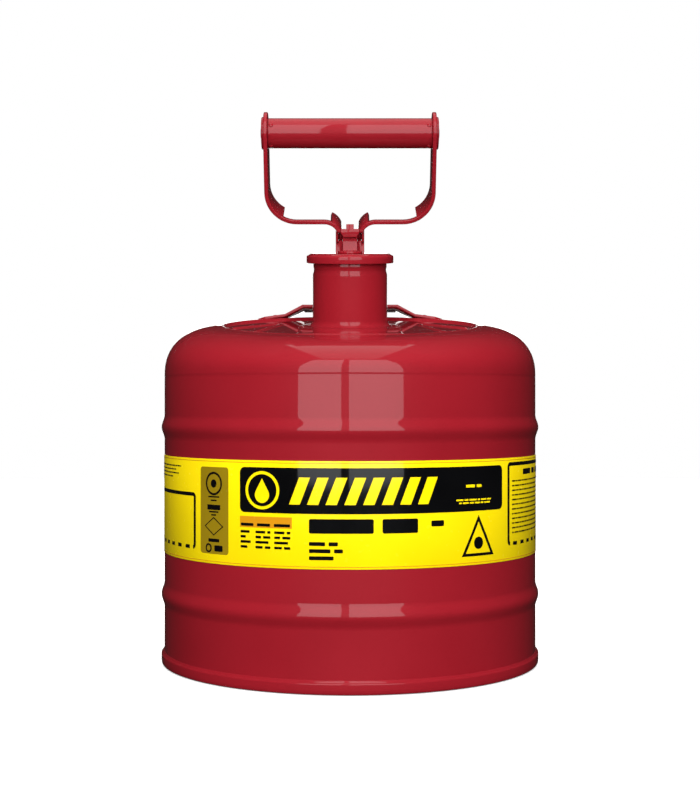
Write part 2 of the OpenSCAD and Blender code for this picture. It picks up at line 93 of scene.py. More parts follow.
WALL = 1.0
LABEL_T = 0.25
BODY_R = high("label_band", X) - LABEL_T
BEAD_OUT = high("body_shell", X) - BODY_R
WALL_TOP = high("body_shell", Z)
CHIME_R = high("bottom_chime", X)
CHIME_H = high("bottom_chime", Z)
LABEL_LOW = low("label_band", Z)
LABEL_HIGH = high("label_band", Z)
BEADS = (43.8, 149.3)
BEAD_HALF = 7.8

TILT = math.radians(7)
PANEL_Z = 214.6
PANEL_R = 83.0
HOLE_R = 21.0
NECK_R = high("neck_tube", X)
CAP_R = high("cap_shell", X)
SKIRT_W = 40.1
CROWN_W = 46.2
MOUTH_W = 39.9

PIVOT = Vector(frame["joints"][0]["pos_m"])
LEAN = math.radians(22)
GRIP_Z = 69.0
GRIP_R = 9.7
ARM_OUT = high("handle_arm_right", X)
ARM_IN = ARM_OUT - 2.55

CAN = Matrix.Identity(4)
NECK = Matrix.Translation((0, 0, PANEL_Z * MM)) @ Matrix.Rotation(TILT, 4, "X")
HANDLE = Matrix.Translation(PIVOT) @ Matrix.Rotation(LEAN, 4, "X")
GRIP = HANDLE @ Matrix.Translation((0, 0, GRIP_Z * MM)) @ Matrix.Rotation(math.pi / 2, 4, "Y")


# ---- outlines ----------------------------------------------------------------


def ease(t):
    """0 below 0, 1 above 1, smooth between."""
    t = min(max(t, 0.0), 1.0)
    return t * t * (3 - 2 * t)


def hump(t):
    """1 at 0, falling smoothly to 0 at -1 and 1."""
    return 0.5 + 0.5 * math.cos(math.pi * min(abs(t), 1.0))


def arc(cx, cy, radius, start, end, steps):
    """Points round a centre, from one angle to another in degrees."""
    turns = [math.radians(start + (end - start) * i / steps) for i in range(steps + 1)]
    return [(cx + radius * math.cos(a), cy + radius * math.sin(a)) for a in turns]


def rounded(corners, steps=5):
    """A closed outline whose corners (x, y, radius) are rounded."""
    out = []
    for i, (x, y, radius) in enumerate(corners):
        here = Vector((x, y))
        if radius <= 0:
            out.append((x, y))
            continue
        back = Vector(corners[i - 1][:2]) - here
        ahead = Vector(corners[(i + 1) % len(corners)][:2]) - here
        half = back.angle(ahead) / 2
        reach = min(radius / math.tan(half), 0.49 * back.length, 0.49 * ahead.length)
        size = reach * math.tan(half)
        centre = here + (back.normalized() + ahead.normalized()).normalized() * size / math.sin(half)
        start = here + back.normalized() * reach - centre
        end = here + ahead.normalized() * reach - centre
        turn = math.atan2(start.x * end.y - start.y * end.x, start.dot(end))
        first = math.atan2(start.y, start.x)
        for k in range(steps + 1):
            a = first + turn * k / steps
            out.append((centre.x + size * math.cos(a), centre.y + size * math.sin(a)))
    return out


def rectangle(x0, x1, y0, y1, radius=0.0, steps=5):
    return rounded([(x0, y0, radius), (x1, y0, radius), (x1, y1, radius), (x0, y1, radius)], steps)


def disc(cx, cy, radius, steps=32):
    return arc(cx, cy, radius, 0, 360 - 360 / steps, steps - 1)


# ---- materials ---------------------------------------------------------------


class Shader:
    """A material whose node tree is built from the principled shader's end."""

    def __init__(self, name):
        self.material = bpy.data.materials.new(name)
        self.material.use_nodes = True
        self.tree = self.material.node_tree
        self.surface = self.tree.nodes["Principled BSDF"]
        self.place = self.node("ShaderNodeTexCoord").outputs["Object"]

    def node(self, kind, inputs=(), **settings):
        made = self.tree.nodes.new(kind)
        for key, value in settings.items():
            setattr(made, key, value)
        for socket, value in dict(inputs).items():
            self.feed(made.inputs[socket], value)
        return made

    def feed(self, socket, value):
        if isinstance(value, bpy.types.NodeSocket):
            self.tree.links.new(value, socket)
        else:
            socket.default_value = value

    def set(self, **values):
        for name, value in values.items():
            self.feed(self.surface.inputs[name.replace("_", " ")], value)

    def noise(self, size, detail=2.0, stretch=(1, 1, 1)):
        """Noise whose grains are about size metres across."""
        scaled = self.node("ShaderNodeMapping", {"Vector": self.place, "Scale": stretch})
        return self.node("ShaderNodeTexNoise", {
            "Vector": scaled.outputs[0], "Scale": 1 / size, "Detail": detail}).outputs["Fac"]

    def between(self, factor, low_value, high_value, from_low=0.3, from_high=0.7):
        return self.node("ShaderNodeMapRange", {
            "Value": factor, "From Min": from_low, "From Max": from_high,
            "To Min": low_value, "To Max": high_value}).outputs[0]

    def blend(self, factor, first, second):
        mix = self.node("ShaderNodeMix", data_type="RGBA")
        self.feed(mix.inputs["Factor"], factor)
        self.feed(mix.inputs[6], first)
        self.feed(mix.inputs[7], second)
        return mix.outputs[2]

    def relief(self, height, depth, under=None):
        """A bump of about depth metres."""
        bump = self.node("ShaderNodeBump", {"Height": height, "Distance": depth})
        if under is not None:
            self.feed(bump.inputs["Normal"], under)
        return bump.outputs[0]


def colour(red, green, blue):
    return (red, green, blue, 1.0)


def baked_enamel():
    """Gloss red: even, with a faint orange peel and a slow drift of depth."""
    s = Shader("baked_enamel")
    drift = s.noise(0.07, 3)
    speck = s.noise(0.0022, 1)
    tone = s.blend(s.between(drift, 0, 1), colour(0.262, 0.0085, 0.0155), colour(0.290, 0.0100, 0.0180))
    tone = s.blend(s.between(speck, 0, 0.16, 0.55, 0.8), tone, colour(0.21, 0.006, 0.012))
    peel = s.relief(s.noise(0.0026, 2), 0.0000055)
    s.set(Base_Color=tone, Roughness=s.between(s.noise(0.03, 3), 0.40, 0.50), Normal=peel,
          Specular_IOR_Level=0.1, Coat_Weight=1.0, Coat_Roughness=0.03, Coat_IOR=1.45)
    s.feed(s.surface.inputs["Coat Normal"], s.relief(s.noise(0.0034, 2), 0.0000032))
    return s.material


def inner_primer():
    """Dull rust-proof lining of the can's inside."""
    s = Shader("inner_primer")
    tone = s.blend(s.between(s.noise(0.02, 4), 0, 1), colour(0.12, 0.03, 0.025), colour(0.17, 0.045, 0.035))
    s.set(Base_Color=tone, Roughness=s.between(s.noise(0.006, 3), 0.5, 0.7),
          Normal=s.relief(s.noise(0.0015, 3), 0.00002))
    return s.material


def plated_steel():
    """Zinc plate: cool metal with fine turned lines and a faint bloom."""
    s = Shader("plated_steel")
    lines = s.noise(0.0004, 2, (6, 1, 1))
    bloom = s.noise(0.004, 4)
    tone = s.blend(s.between(bloom, 0, 1), colour(0.50, 0.51, 0.52), colour(0.68, 0.68, 0.66))
    s.set(Base_Color=tone, Metallic=1.0, Roughness=s.between(bloom, 0.24, 0.42),
          Normal=s.relief(lines, 0.000006))
    return s.material


def spring_wire():
    s = Shader("spring_wire")
    drawn = s.noise(0.0003, 2, (1, 1, 0.2))
    tone = s.blend(s.between(drawn, 0, 1), colour(0.32, 0.32, 0.33), colour(0.52, 0.52, 0.52))
    s.set(Base_Color=tone, Metallic=1.0, Roughness=s.between(drawn, 0.2, 0.36),
          Normal=s.relief(drawn, 0.000004))
    return s.material


def drawn_brass():
    """Brass sheet with soft tarnish."""
    s = Shader("drawn_brass")
    tarnish = s.noise(0.005, 5)
    tone = s.blend(s.between(tarnish, 0, 1), colour(0.42, 0.25, 0.08), colour(0.72, 0.48, 0.18))
    s.set(Base_Color=tone, Metallic=1.0, Roughness=s.between(tarnish, 0.45, 0.26),
          Normal=s.relief(s.noise(0.0005, 2, (1, 1, 8)), 0.000006))
    return s.material


def woven_wire():
    s = Shader("woven_wire")
    tone = s.blend(s.between(s.noise(0.003, 4), 0, 1), colour(0.36, 0.35, 0.33), colour(0.58, 0.57, 0.54))
    s.set(Base_Color=tone, Metallic=1.0, Roughness=s.between(s.noise(0.002, 3), 0.3, 0.5))
    return s.material


def gasket_rubber():
    """Matt black rubber with a moulded grain."""
    s = Shader("gasket_rubber")
    grain = s.noise(0.0006, 3)
    tone = s.blend(s.between(s.noise(0.006, 4), 0, 1),
                   colour(0.012, 0.012, 0.013), colour(0.03, 0.03, 0.031))
    s.set(Base_Color=tone, Roughness=s.between(grain, 0.62, 0.82), Normal=s.relief(grain, 0.00003))
    return s.material


def printed_ink(name, first, second, roughness=0.2, gloss=0.2, coat=0.7):
    """Ink under a gloss film: two close tones, a film's faint waviness."""
    s = Shader(name)
    tone = s.blend(s.between(s.noise(0.05, 3), 0, 1), first, second)
    film = s.relief(s.noise(0.012, 2), 0.000012)
    s.set(Base_Color=tone, Roughness=s.between(s.noise(0.004, 3), roughness, roughness + 0.08),
          Normal=film, Specular_IOR_Level=gloss, Coat_Weight=coat, Coat_Roughness=0.05)
    return s.material


ENAMEL = baked_enamel()
LINING = inner_primer()
ZINC = plated_steel()
WIRE = spring_wire()
BRASS = drawn_brass()
MESH = woven_wire()
RUBBER = gasket_rubber()
YELLOW = printed_ink("ink_yellow", colour(0.96, 0.70, 0.002), colour(1.0, 0.76, 0.003), coat=0.35)
ORANGE = printed_ink("ink_orange", colour(0.62, 0.25, 0.006), colour(0.68, 0.28, 0.008))
KHAKI = printed_ink("ink_khaki", colour(0.27, 0.18, 0.004), colour(0.30, 0.20, 0.006))
BLACK = printed_ink("ink_black", colour(0.0015, 0.0015, 0.0018), colour(0.003, 0.003, 0.0035),
                    gloss=0.05)

FINISHES = {
    "red_enamel": ENAMEL, "zinc_steel": ZINC, "spring_steel": WIRE, "brass": BRASS,
    "wire_mesh": MESH, "black_rubber": RUBBER, "label_print": YELLOW,
}


# ---- making pieces -----------------------------------------------------------


def add(name, mesh, body, material, replaced=(), smooth=35):
    """Puts a finished mesh in the scene as a piece that rides on a body."""
    mesh.materials.clear()
    mesh.materials.append(material)
    mesh.shade_smooth()
    mesh.set_sharp_from_angle(angle=math.radians(smooth))
    piece = bpy.data.objects.new(name, mesh)
    bpy.context.scene.collection.objects.link(piece)
    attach(piece, body)
    if replaced:
        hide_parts(*replaced)
    return piece


def to_mesh(bm, name, place=CAN):
    """Ends a bmesh: outward faces, millimetres to metres, moved to its frame."""
    bmesh.ops.recalc_face_normals(bm, faces=bm.faces)
    bm.transform(place @ Matrix.Scale(MM, 4))
    mesh = bpy.data.meshes.new(name)
    bm.to_mesh(mesh)
    bm.free()
    return mesh


def turned(name, outline, sides, place=CAN, shift=None):
    """A closed outline of (radius, height) turned about its frame's Z.

    shift(angle, radius, height) may move a point, for a seam or a pressing.
    """
    bm = bmesh.new()
    rings = []
    for k in range(sides):
        a = 2 * math.pi * k / sides
        ring = []
        for r, z in outline:
            if shift:
                r, z = shift(a, r, z)
            ring.append(bm.verts.new((r * math.cos(a), r * math.sin(a), z)))
        rings.append(ring)
    for k in range(sides):
        here, there = rings[k], rings[(k + 1) % sides]
        for i in range(len(outline)):
            j = (i + 1) % len(outline)
            if outline[i][0] > 0 or outline[j][0] > 0:
                bm.faces.new((here[i], there[i], there[j], here[j]))
    bmesh.ops.remove_doubles(bm, verts=bm.verts, dist=1e-5)
    return to_mesh(bm, name, place)


def softened(node, width, segments=2):
    """A CAD node's own shape with its sharp edges broken by width millimetres."""
    bm = bmesh.new()
    bm.from_mesh(NODES[node].data)
    bm.transform(Matrix.Scale(1 / MM, 4))
    bmesh.ops.remove_doubles(bm, verts=bm.verts, dist=0.002)
    bmesh.ops.dissolve_limit(bm, angle_limit=math.radians(0.6), verts=bm.verts, edges=bm.edges)
    sharp = [e for e in bm.edges
             if len(e.link_faces) == 2 and e.calc_face_angle(0) > math.radians(32)]
    bmesh.ops.bevel(bm, geom=sharp, offset=width, offset_type="OFFSET", segments=segments,
                    profile=0.5, affect="EDGES", clamp_overlap=False)
    return to_mesh(bm, node)


def keep(node, width, material=None, segments=2, smooth=35):
    """Shows a CAD node's shape with softened edges, in its slot's finish."""
    slot = SLOTS[node]
    return add(node + "_finished", softened(node, width, segments), NODES[node]["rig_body"],
               material or FINISHES[slot], [node], smooth)


# ---- the can -----------------------------------------------------------------


def bead(z):
    """How far the rolled beads push the wall out at height z."""
    return sum(BEAD_OUT * hump((z - middle) / BEAD_HALF) for middle in BEADS)


SEAM_HALF = 5.0
SEAM_STEP = 0.28


def seam_step(off):
    """How far the welded lap stands out, off millimetres round from the rear."""
    return SEAM_STEP * ease((off + SEAM_HALF) / 1.2) * ease((SEAM_HALF - off) / 6)


def lapped(a, r, z):
    """The step fades out over the beads, which stand out furthest."""
    return r + seam_step((a - math.pi / 2) * BODY_R) * (1 - bead(z) / BEAD_OUT), z


def body_shell():
    steps = 16
    heights = [CHIME_H - 1]
    for middle in BEADS:
        heights += [middle + BEAD_HALF * (2 * i / steps - 1) for i in range(steps + 1)]
    heights += [WALL_TOP - 2.2, WALL_TOP - 1.4, WALL_TOP - 0.7, WALL_TOP]
    top_lap = {WALL_TOP - 1.4: -0.12, WALL_TOP - 0.7: -0.05}
    outside = [(BODY_R + bead(z) + top_lap.get(z, 0), z) for z in heights]
    inside = [(r - WALL, z) for r, z in reversed(outside)]
    mesh = turned("body_wall", outside + inside, 256, shift=lapped)
    add("body_wall", mesh, "can", ENAMEL, ["body_shell"], 50)


def bottom_chime():
    """The double seam round the bottom: a rolled lip with a fine top step."""
    inner = low("bottom_chime", Z) + 1.0
    outline = rounded([
        (116.6, 0.0, 0.6), (CHIME_R - 0.25, 0.0, 1.3), (CHIME_R, 2.6, 1.2), (CHIME_R, 6.4, 0.8),
        (CHIME_R - 0.9, 7.0, 0.4), (BODY_R + 0.12, CHIME_H + 0.2, 0.3), (BODY_R - 0.9, CHIME_H + 0.2, 0),
        (BODY_R - 0.9, CHIME_H - 1.2, 0), (116.6, CHIME_H - 1.2, 0.4), (116.6, inner, 0)])
    add("bottom_seam", turned("bottom_seam", outline, 256), "can", ENAMEL, ["bottom_chime"])


def fan_ridge(x, v, start, end, half, height):
    """A ridge along a line that fades at both ends."""
    line = Vector(end) - Vector(start)
    along = (Vector((x, v)) - Vector(start)).dot(line) / line.length_squared
    side = abs((x - start[0]) * line.y - (v - start[1]) * line.x) / line.length
    return height * hump(side / half) * ease(along / 0.2) * ease((1 - along) / 0.12 + 0.2)


PANEL_FLOOR = -1.9
FLOOR_EDGE_R = 81.8
RING_R = 82.0
RING_RISE = 0.3
FAN_HALF = 3.2
FAN_RISE = 1.9
FAN_START = (42.0, 33.0)
FAN_ENDS = ((77.0, -20.0), (61.0, -60.0))
PAD_HALF = 34.0
PAD_FRONT = -70.0
TROUGH_V = 58
TROUGH_R = 16


def pressing(x, v):
    """Relief of the top panel: rolled ring, sunk floor, side fans, front pad, rear trough."""
    r = math.hypot(x, v)
    floor = ease((FLOOR_EDGE_R - r) / 2.2) * ease((r - 30.0) / 7.0)
    ring = RING_RISE * hump((r - RING_R) / 1.6)
    fans = sum(fan_ridge(abs(x), v, FAN_START, end, FAN_HALF, FAN_RISE) for end in FAN_ENDS)
    inside = ease((PAD_HALF - abs(x)) / 3.0) * ease((v - PAD_FRONT) / 3.0) * ease((-6.0 - v) / 8.0)
    pad = -PANEL_FLOOR * 0.9 * inside
    trough = -1.0 * hump(math.hypot(x, v - TROUGH_V) / TROUGH_R)
    return ring + floor * (PANEL_FLOOR + pad) + (fans + trough) * ease((78.0 - r) / 3.0)


FULLNESS = 0.86  # of the shoulder's section: 1 is an ellipse, less is fuller


def shoulder(a, phi, inset):
    """A point of the shoulder between the wall's rim and the tilted panel."""
    out = math.cos(phi) ** FULLNESS if phi < math.pi / 2 else 0.0
    up = math.sin(phi) ** FULLNESS
    rim = BODY_R - inset
    r = PANEL_R + (rim - PANEL_R) * out
    y_ring = PANEL_R * math.cos(TILT)
    z_ring = PANEL_Z - inset / math.cos(TILT) + PANEL_R * math.sin(a) * math.sin(TILT)
    rise = math.sin(a) * math.tan(TILT) * (r - PANEL_R) * up
    return (r * math.cos(a), math.sin(a) * (y_ring + (rim - y_ring) * out),
            WALL_TOP + (z_ring - WALL_TOP) * up + rise)


def panel_point(a, r, inset, relief):
    x, v = r * math.cos(a), r * math.sin(a)
    w = (pressing(x, v) if relief else 0.0) - inset
    return tuple(c / MM for c in NECK @ (Vector((x, v, w)) * MM))


def top_dome():
    sides, steps, fine, rings, coarse = 360, 18, 12, 48, 6
    bm = bmesh.new()
    columns = []
    for k in range(sides):
        a = 2 * math.pi * k / sides
        column = [shoulder(a, math.pi / 2 * i / steps, 0) for i in range(steps)]
        radii = [PANEL_R - 0.42 * i for i in range(fine)]
        radii += [78.0 + (HOLE_R - 78.0) * i / rings for i in range(rings + 1)]
        column += [panel_point(a, r, 0, True) for r in radii]
        column += [panel_point(a, r, WALL, False) for r in (HOLE_R, 60.0)]
        column += [panel_point(a, 78.0, WALL, False)]
        column += [shoulder(a, math.pi / 2 * i / coarse, WALL) for i in range(coarse, -1, -1)]
        columns.append([bm.verts.new(p) for p in column])
    for k in range(sides):
        here, there = columns[k], columns[(k + 1) % sides]
        for i in range(len(here)):
            j = (i + 1) % len(here)
            bm.faces.new((here[i], there[i], there[j], here[j]))
    add("domed_top", to_mesh(bm, "domed_top"), "can", ENAMEL, ["top_dome"], 45)


def neck():
    """The neck drawn in a little below the cap, with its brazed collar."""
    waist, lip = NECK_R - 0.75, NECK_R - 0.35
    outline = rounded([
        (NECK_R, -0.6, 0), (NECK_R, 32.8, 3), (waist, 35.6, 2.2), (lip, 37.6, 1.5), (lip, MOUTH_W, 0.3),
        (NECK_R - 1.6, MOUTH_W, 0.3), (NECK_R - 1.6, -0.6, 0)])
    add("neck_wall", turned("neck_wall", outline, 160, NECK), "can", ENAMEL, ["neck_tube"])
    braze = [(NECK_R - 0.4, -0.5), (NECK_R + 3.9, -0.5)]
    braze += arc(NECK_R + 3.9, 3.6, 3.7, 265, 180, 10)
    braze += [(NECK_R - 0.4, 3.6)]
    add("neck_braze", turned("neck_braze", braze, 160, NECK), "can", ENAMEL, ["neck_collar"])


def cap():
    """Pressed cap: a rolled skirt, a rounded rim and a shallow crown."""
    rim_w = SKIRT_W + 4.5
    crown = CAP_R - 3.1
    inside = CAP_R - 1.05
    outline = rounded([
        (inside, SKIRT_W, 0.45), (CAP_R, SKIRT_W, 0.5), (CAP_R, rim_w, 1.3), (crown, CROWN_W, 2.5),
        (2.0, CROWN_W, 0), (2.0, CROWN_W - 1.05, 0), (crown - 0.4, CROWN_W - 1.05, 1),
        (inside, rim_w - 0.5, 0.8)])
    add("cap_pressing", turned("cap_pressing", outline, 160, NECK), "lid", ENAMEL,
        ["cap_shell"])


def grip():
    """Tube and end discs, on the grip's own axis."""
    wall = 1.2
    tube = rounded([
        (GRIP_R - wall, -ARM_IN, 0.2), (GRIP_R, -ARM_IN, 0.5), (GRIP_R, ARM_IN, 0.5),
        (GRIP_R - wall, ARM_IN, 0.2)])
    add("grip_sleeve", turned("grip_sleeve", tube, 96, GRIP), "handle", ENAMEL, ["grip_tube"])
    bm = bmesh.new()
    for side in (-1, 1):
        edge = rounded([(3.5, ARM_OUT, 0.1), (10.5, ARM_OUT, 0.3), (10.5, ARM_OUT + 1.5, 0.6),
                        (3.5, ARM_OUT + 1.5, 0.3)])
        part = turned("end_disc", [(r, side * z) for r, z in edge], 96)
        bm.from_mesh(part)
        bpy.data.meshes.remove(part)
    bm.transform(Matrix.Scale(1 / MM, 4))
    add("grip_discs", to_mesh(bm, "grip_discs", GRIP), "handle", ENAMEL, ["grip_end_discs"])


def perforated(radius, thickness, w0, w1, columns, rows, hole):
    """A tube with rows of round holes, hole being their share of the pitch."""
    sides = 8
    pitch_a, pitch_w = 2 * math.pi / columns, (w1 - w0) / rows
    arc_pitch = pitch_a * radius
    size = hole * min(arc_pitch, pitch_w) / 2
    bm = bmesh.new()

    def at(s, w, r):
        a = s / radius
        return bm.verts.new((r * math.cos(a), r * math.sin(a), w))

    for i in range(columns):
        for j in range(rows):
            cs, cw = (i + 0.5) * arc_pitch, w0 + (j + 0.5) * pitch_w
            hs, hw = arc_pitch / 2, pitch_w / 2
            frame_points = [(hs, 0), (hs, hw), (0, hw), (-hs, hw),
                            (-hs, 0), (-hs, -hw), (0, -hw), (hs, -hw)]
            hole_points = [(size * math.cos(math.pi * k / 4), size * math.sin(math.pi * k / 4))
                           for k in range(sides)]
            loops = [[at(cs + s, cw + w, r) for s, w in points]
                     for r in (radius, radius - thickness) for points in (frame_points, hole_points)]
            for k in range(sides):
                m = (k + 1) % sides
                for a, b in ((0, 1), (1, 3), (3, 2)):
                    bm.faces.new((loops[a][k], loops[a][m], loops[b][m], loops[b][k]))
    bmesh.ops.remove_doubles(bm, verts=bm.verts, dist=1e-3)
    rims = [e for e in bm.edges if len(e.link_faces) == 1]
    bmesh.ops.bridge_loops(bm, edges=[e for e in rims if e.verts[0].co.z < (w0 + w1) / 2])
    bmesh.ops.bridge_loops(bm, edges=[e for e in rims if e.verts[0].co.z > (w0 + w1) / 2])
    return to_mesh(bm, "perforated", NECK)


def weave(radius, w0, w1, around, along, wire):
    """Woven wire cloth: wires that pass over and under each other."""
    bm = bmesh.new()

    def wire_tube(points):
        rings = []
        for i, p in enumerate(points):
            ahead = (points[min(i + 1, len(points) - 1)] - points[max(i - 1, 0)]).normalized()
            out = Vector((p.x, p.y, 0)).normalized()
            side = ahead.cross(out).normalized()
            rings.append([bm.verts.new(p + out * a + side * b)
                          for a, b in ((wire, 0), (0, wire), (-wire, 0), (0, -wire))])
        for first, second in zip(rings, rings[1:]):
            for k in range(4):
                m = (k + 1) % 4
                bm.faces.new((first[k], first[m], second[m], second[k]))
        bm.faces.new(rings[0])
        bm.faces.new(list(reversed(rings[-1])))

    for i in range(around):
        a = 2 * math.pi * i / around
        wire_tube([Vector(((radius + wire * s) * math.cos(a), (radius + wire * s) * math.sin(a), w))
                   for j in range(along + 1)
                   for w, s in ((w0 + (w1 - w0) * j / along, 1 if (i + j) % 2 else -1),)])
    for j in range(along + 1):
        w = w0 + (w1 - w0) * j / along
        wire_tube([Vector(((radius + wire * s) * math.cos(a), (radius + wire * s) * math.sin(a), w))
                   for i in range(around + 1)
                   for a, s in ((2 * math.pi * i / around - 0.001 * (i == around), -1 if (i + j) % 2 else 1),)])
    return to_mesh(bm, "weave", NECK)


def arrester():
    top, bottom = MOUTH_W - 3, -40.0
    tube = perforated(16.8, 0.9, bottom, top, 40, 28, 0.62)
    add("arrester_tube", tube, "can", BRASS, ["arrester_screen"])
    cloth = weave(15.55, bottom + 0.5, top - 0.5, 72, 56, 0.14)
    add("arrester_cloth", cloth, "can", MESH, ["arrester_mesh"], 60)


def lid_spring():
    """Torsion spring, rigid on the can: fixed leg, coil about the pin, leg to the lid's foot."""
    wire, coil, turns, half, sides = 0.5, 3.2, 3.75, 2.2, 12
    foot_y, foot_reach, foot_t, gap = 24.4, 1.6, 1.4, 0.1
    pin = NECK.inverted() @ PIVOT / MM
    steps = int(turns * 48)
    path = [Vector((-half, NECK_R + 0.6, SKIRT_W - 12)), Vector((-half, 29.8, SKIRT_W - 2)),
            Vector((-half, 31, SKIRT_W + 4))]
    for i in range(steps + 1):
        a = math.pi - 2 * math.pi * turns * i / steps
        path.append(Vector((half * (2 * i / steps - 1),
                            pin.y + coil * math.cos(a), pin.z + coil * math.sin(a))))
    path.append(Vector((half, foot_y + foot_reach + wire + gap, CROWN_W + foot_t + wire + gap)))
    bm = bmesh.new()
    rings = []
    for i, p in enumerate(path):
        ahead = (path[min(i + 1, len(path) - 1)] - path[max(i - 1, 0)]).normalized()
        side = (Vector((1, 0, 0)) - ahead.x * ahead).normalized()
        up = ahead.cross(side)
        rings.append([bm.verts.new(p + wire * (math.cos(t) * side + math.sin(t) * up))
                      for t in (2 * math.pi * k / sides for k in range(sides))])
    for first, second in zip(rings, rings[1:]):
        for k in range(sides):
            m = (k + 1) % sides
            bm.faces.new((first[k], first[m], second[m], second[k]))
    bm.faces.new(rings[0])
    bm.faces.new(list(reversed(rings[-1])))
    add("torsion_spring", to_mesh(bm, "torsion_spring", NECK), "can", WIRE,
        ["lid_spring"], 60)


# ---- the label ---------------------------------------------------------------

LABEL_R = BODY_R + LABEL_T


class Ink:
    """Flat shapes of one ink, wrapped round the can as one thin raised layer."""

    def __init__(self, name, material, layer):
        self.name = name
        self.material = material
        self.out = LABEL_R + 0.03 * layer
        self.bm = bmesh.new()

    def fill(self, outline):
        """A filled outline of (distance round the can from the front, height)."""
        self.bm.faces.new([self.bm.verts.new((s, 0, z)) for s, z in outline])

    def band(self, outer, inner):
        """The strip between two outlines with as many points each."""
        a = [self.bm.verts.new((s, 0, z)) for s, z in outer]
        b = [self.bm.verts.new((s, 0, z)) for s, z in inner]
        n = len(a)
        for i in range(n):
            self.bm.faces.new((a[i], a[(i + 1) % n], b[(i + 1) % n], b[i]))

    def cut(self):
        """Cuts the faces every degree and a half, so that they can follow the curve."""
        step = BODY_R * math.radians(1.5)
        reach = [v.co.x for v in self.bm.verts]
        for i in range(math.ceil(min(reach) / step), math.ceil(max(reach) / step)):
            geom = [g for g in self.bm.verts[:] + self.bm.edges[:] + self.bm.faces[:]
                    if self.touches(g, i * step)]
            bmesh.ops.bisect_plane(self.bm, geom=geom, dist=1e-5, plane_co=(i * step, 0, 0),
                                   plane_no=(1, 0, 0))

    @staticmethod
    def touches(part, s):
        if isinstance(part, bmesh.types.BMVert):
            return abs(part.co.x - s) < 1e-4
        xs = [v.co.x for v in part.verts]
        return min(xs) < s < max(xs)

    def finish(self):
        self.cut()
        bm = self.bm
        bmesh.ops.remove_doubles(bm, verts=bm.verts, dist=1e-4)
        bmesh.ops.recalc_face_normals(bm, faces=bm.faces)
        base = bm.faces[:]
        grown = bmesh.ops.extrude_face_region(bm, geom=base, use_keep_orig=True)
        depth = 0.05 + self.out - LABEL_R
        outer = {g for g in grown["geom"] if isinstance(g, bmesh.types.BMVert)}
        for v in bm.verts:
            a = v.co.x / BODY_R
            r = self.out if v in outer else self.out - depth
            r += seam_step((abs(a) - math.pi) * BODY_R * math.copysign(1, a))
            v.co = Vector((r * math.sin(a), -r * math.cos(a), v.co.z))
        add(self.name, to_mesh(bm, self.name), "can", self.material, (), 30)


PANEL = (-66.7, 101.8, 102.0, 128.0)
WORD_WIDTHS = (4.2, 2.4, 5.6, 3.1, 6.4, 2.0, 4.8, 3.6)


def word_line(ink, s0, s1, z, height, first=0):
    """A line of fine print as plain blocks, with no letters in it."""
    gap = 0.9 * height
    s, k = s0, first
    while s < s1 - height:
        width = min(WORD_WIDTHS[k % len(WORD_WIDTHS)] * height, s1 - s)
        ink.fill(rectangle(s, s + width, z, z + height, 0.2 * height, 2))
        s += width + gap
        k += 1


def word_block(ink, s0, s1, top, rows, height, pitch):
    for i in range(rows):
        shorter = (0.0, 0.12, 0.05, 0.2)[i % 4] * (s1 - s0)
        word_line(ink, s0, s1 - shorter, top - height - i * pitch, height, 3 * i)


def edge_frame(ink, inner_s, outer_s, z0, z1):
    """A panel's rounded frame with a dashed lower edge."""
    line = 2.2
    s0, s1 = sorted((inner_s, outer_s))
    for x0, x1, y0, y1 in ((s0, s0 + line, z0 + 3, z1 - 3), (s1 - line, s1, z0 + 3, z1 - 3),
                           (s0 + 3, s1 - 3, z1 - line, z1)):
        ink.fill(rectangle(x0, x1, y0, y1))
    for cx, cz, turn in ((s0 + 3, z1 - 3, 90), (s1 - 3, z1 - 3, 0),
                         (s0 + 3, z0 + 3, 180), (s1 - 3, z0 + 3, 270)):
        ring = arc(cx, cz, 3, turn, turn + 90, 6) + arc(cx, cz, 3 - line, turn + 90, turn, 6)
        ink.fill(ring)
    dash = 5.0
    count = int((s1 - s0 - 8) / (2 * dash))
    pitch = (s1 - s0 - 8) / count
    for i in range(count):
        middle = s0 + 4 + (i + 0.5) * pitch
        ink.fill(rectangle(middle - dash / 2, middle + dash / 2, z0, z0 + line))


